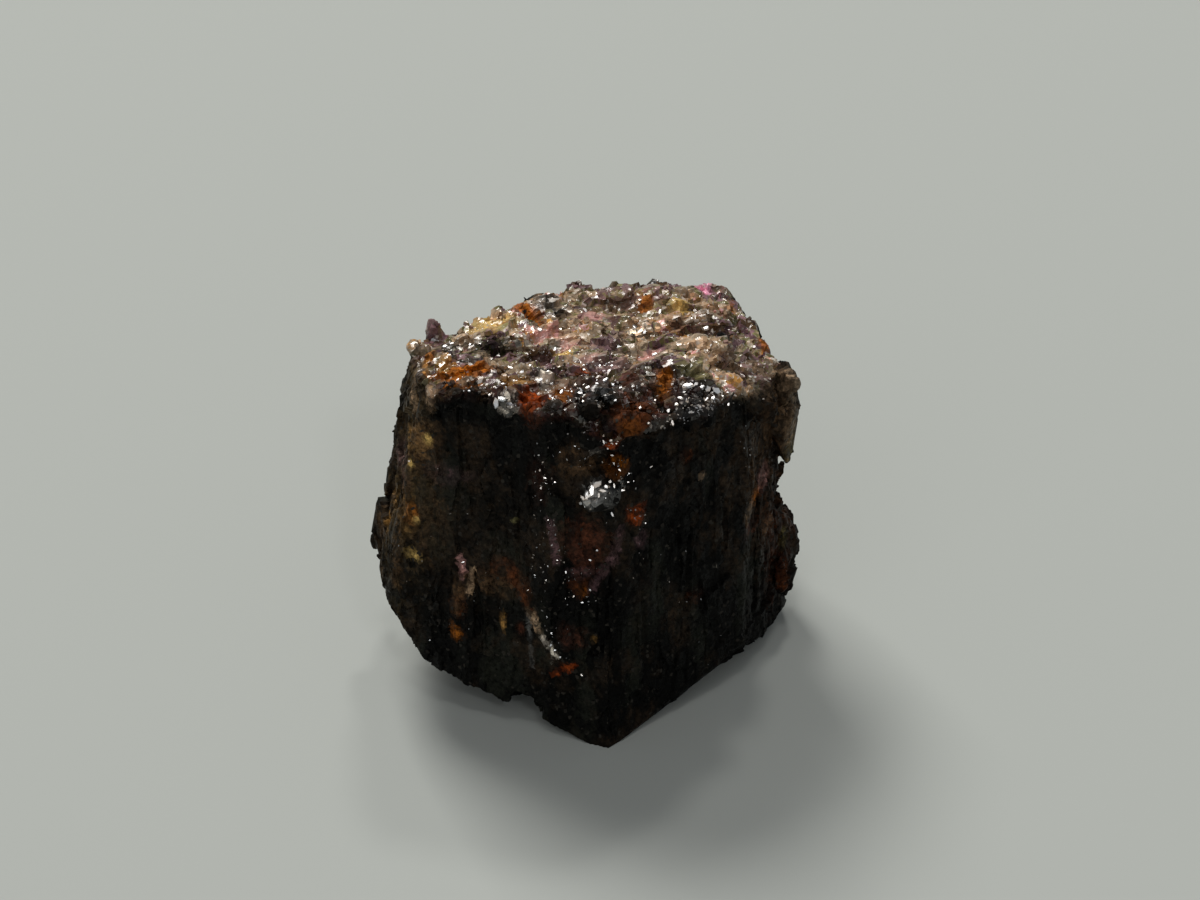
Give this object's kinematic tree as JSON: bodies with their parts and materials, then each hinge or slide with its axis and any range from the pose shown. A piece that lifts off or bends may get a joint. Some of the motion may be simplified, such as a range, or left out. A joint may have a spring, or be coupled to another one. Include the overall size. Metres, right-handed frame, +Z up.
{
  "type": "painite crystal",
  "caption": "Rough mineral crystal: a stubby, nearly black column with flat ribbed sides, a broken crown of amber and pink grains and a small flat face to rest on.",
  "frame": {"origin": "middle of the footprint's bounding rectangle, on the plane that the crystal rests on", "axes": "+Z up along the column, -Y the side with the sharp front edge, +X to the right seen from that side"},
  "size_m": [0.0092, 0.008, 0.0085],
  "materials": {
    "painite": "hard mineral, nearly black with a red-brown cast, glossy on its broken facets and dull where it is weathered"
  },
  "bodies": {
    "root": {"painite_crystal": "painite"}
  },
  "joints": []
}
